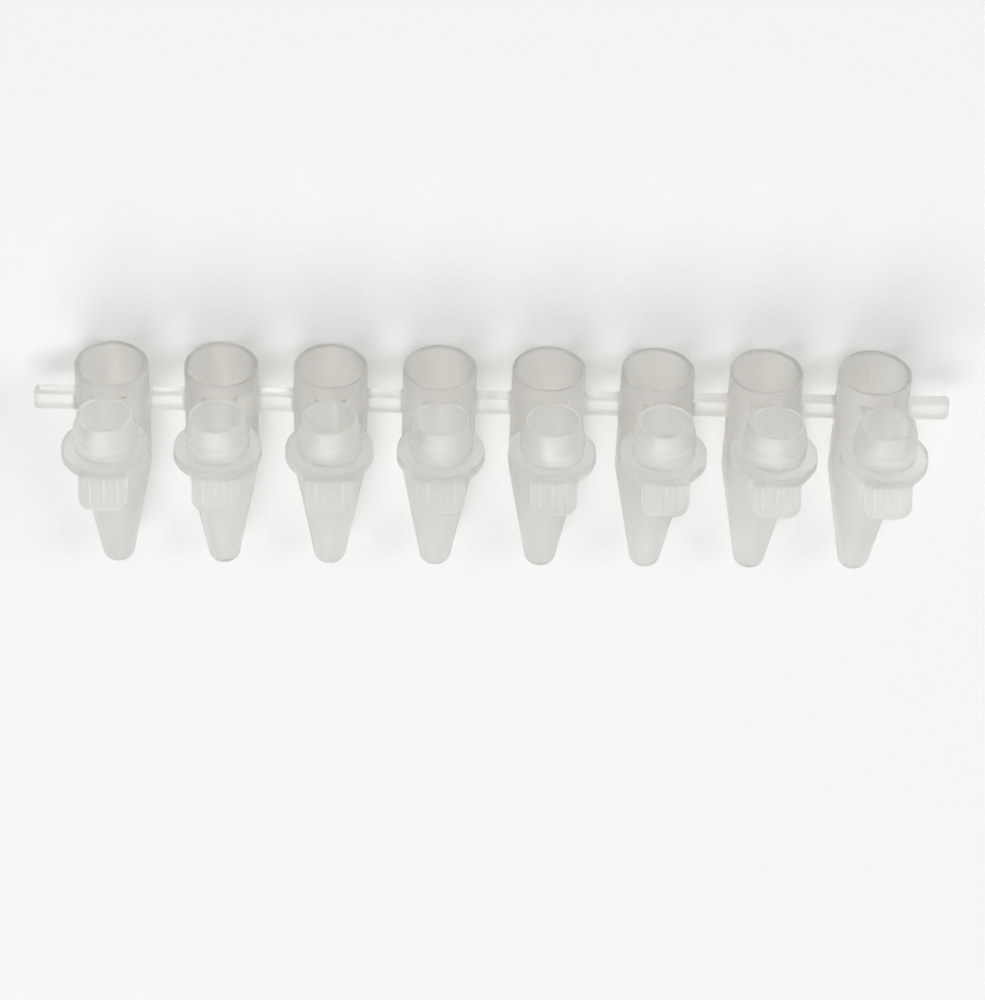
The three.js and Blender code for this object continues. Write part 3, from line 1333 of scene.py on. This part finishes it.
@dataclass(frozen=True)
class Studio:
    """A pale floor under soft, plain light.

    Attributes:
        floor_size: The floor's side, in metres.
        floor_colour: The floor's own colour.
        floor_roughness: The floor's roughness.
        sky_colour: The colour of the light from all round.
        sky_level: Its strength.
        boxes: The lamps.
    """

    floor_size: float = 6.0
    floor_colour: Colour = (0.95, 0.95, 0.95)
    floor_roughness: float = 0.9
    sky_colour: Colour = (1.0, 1.0, 1.0)
    sky_level: float = 0.45
    boxes: tuple[SoftBox, ...] = (
        SoftBox("overhead_box", (0.25, 0.35, 1.0), distance=0.6, size=0.5, level=0.54),
        SoftBox("side_box", (-0.9, -0.5, 0.7), distance=0.7, size=0.35, level=0.21),
    )

    def build(self) -> None:
        """Makes the floor, the light from all round and the lamps."""
        self._floor()
        self._sky()
        for box in self.boxes:
            box.build()

    def _floor(self) -> None:
        """Lays the floor at the height that the strip lies on."""
        half = self.floor_size / 2
        mesh = bpy.data.meshes.new("floor")
        corners = [(-half, -half, 0.0), (half, -half, 0.0), (half, half, 0.0), (-half, half, 0.0)]
        mesh.from_pydata(corners, [], [(0, 1, 2, 3)])
        floor = bpy.data.objects.new("floor", mesh)
        bpy.context.scene.collection.objects.link(floor)
        material = bpy.data.materials.new("floor_paper")
        material.use_nodes = True
        surface = NodeSheet(material.node_tree).shader()
        surface.inputs["Base Color"].default_value = (*self.floor_colour, 1.0)
        surface.inputs["Roughness"].default_value = self.floor_roughness
        surface.inputs["Specular IOR Level"].default_value = 0.0
        mesh.materials.append(material)

    def _sky(self) -> None:
        """Sets the even light from all round."""
        world = bpy.data.worlds.new("soft_sky")
        world.use_nodes = True
        background = world.node_tree.nodes["Background"]
        background.inputs["Color"].default_value = (*self.sky_colour, 1.0)
        background.inputs["Strength"].default_value = self.sky_level
        bpy.context.scene.world = world


@dataclass(frozen=True)
class Viewpoint:
    """The camera: far off with a long lens, and turned over so that the plugs' ends are uppermost.

    Attributes:
        azimuth: Turn round the strip, from looking along +Y.
        elevation: Height above the floor, as an angle.
        roll: Turn about the line of sight.
        lens: Focal length, in millimetres.
        sensor: Width of the sensor, in millimetres.
        fill: The share of the picture's width that the row takes.
        clip: The nearest and the furthest distance that shows, in metres.
    """

    azimuth: float = math.radians(3.2)
    elevation: float = math.radians(50)
    roll: float = math.radians(178.2)
    lens: float = 135.0
    sensor: float = 36.0
    fill: float = 0.93
    clip: tuple[float, float] = (0.01, 20.0)

    def build(self) -> bpy.types.Object:
        """Makes the camera and aims it at the middle of the strip.

        Returns:
            The camera, which the scene now uses.
        """
        low, high = CAD_BOX
        centre = (low + high) / 2
        back = Vector((
            math.sin(self.azimuth) * math.cos(self.elevation),
            -math.cos(self.azimuth) * math.cos(self.elevation),
            math.sin(self.elevation),
        ))
        camera = bpy.data.cameras.new("camera")
        camera.lens = self.lens
        camera.sensor_width = self.sensor
        camera.clip_start, camera.clip_end = self.clip
        wide = (high.x - low.x) / self.fill
        picture = self.sensor * IMAGE_ASPECT
        holder = bpy.data.objects.new("camera", camera)
        holder.location = centre + back * (wide * self.lens / picture)
        holder.rotation_mode = "QUATERNION"
        sight = (-back).to_track_quat("-Z", "Y")
        holder.rotation_quaternion = sight @ Quaternion((0.0, 0.0, 1.0), self.roll)
        bpy.context.scene.collection.objects.link(holder)
        bpy.context.scene.camera = holder
        return holder


# --- the whole -----------------------------------------------------------------------------------


def set_light_paths() -> None:
    """Lets light through the many thin walls that lie one behind another, and keeps it sharp."""
    cycles = bpy.context.scene.cycles
    cycles.max_bounces = 48
    cycles.transmission_bounces = 40
    cycles.glossy_bounces = 16
    cycles.diffuse_bounces = 16
    cycles.blur_glossy = 0.0
    cycles.use_denoising = True
    bpy.context.scene.view_settings.view_transform = "Standard"


def main() -> None:
    """Builds and dresses the strip, then the studio and the camera."""
    logging.basicConfig(level=logging.INFO, format="%(name)s: %(message)s")
    upright = Upright.of_frame(HINGE_OFFSET)
    rim = upright.height_of(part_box("tube_strip")[0].y)
    seat = upright.height_of(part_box("cap_1")[0].y) - FlatCap.plug_depth
    row = TubeRow(upright, height=rim, lug_top=seat)
    caps = FlatCap(upright, offset=2 * HINGE_OFFSET, seat=seat)
    hinges = LivingHinge.between(row, caps)

    wall = Polypropylene(
        "tube_polypropylene", "natural_polypropylene", Grain.DRAWN,
        clarity=0.92, cloud=0.30, smooth=0.285, dull=0.37, mark_depth=0.022,
    )
    cap = Polypropylene(
        "cap_polypropylene", "natural_polypropylene", Grain.EVEN,
        clarity=0.90, cloud=0.32, smooth=0.29, dull=0.38, mark_depth=0.016,
    )
    film = Polypropylene(
        "hinge_polypropylene", "thin_polypropylene", Grain.FLEXED,
        clarity=0.92, cloud=0.30, smooth=0.29, dull=0.40, mark_depth=0.012, whitened=0.45,
    )

    for sub_assembly, finish in ((row, wall), (caps, cap), (hinges, film)):
        pieces = sub_assembly.build()
        sub_assembly.dress(pieces, finish)
        for piece in pieces:
            logger.info("%s: %d faces", piece.name, len(piece.data.polygons))

    Studio().build()
    Viewpoint().build()
    set_light_paths()


if __name__ == "__main__":
    main()
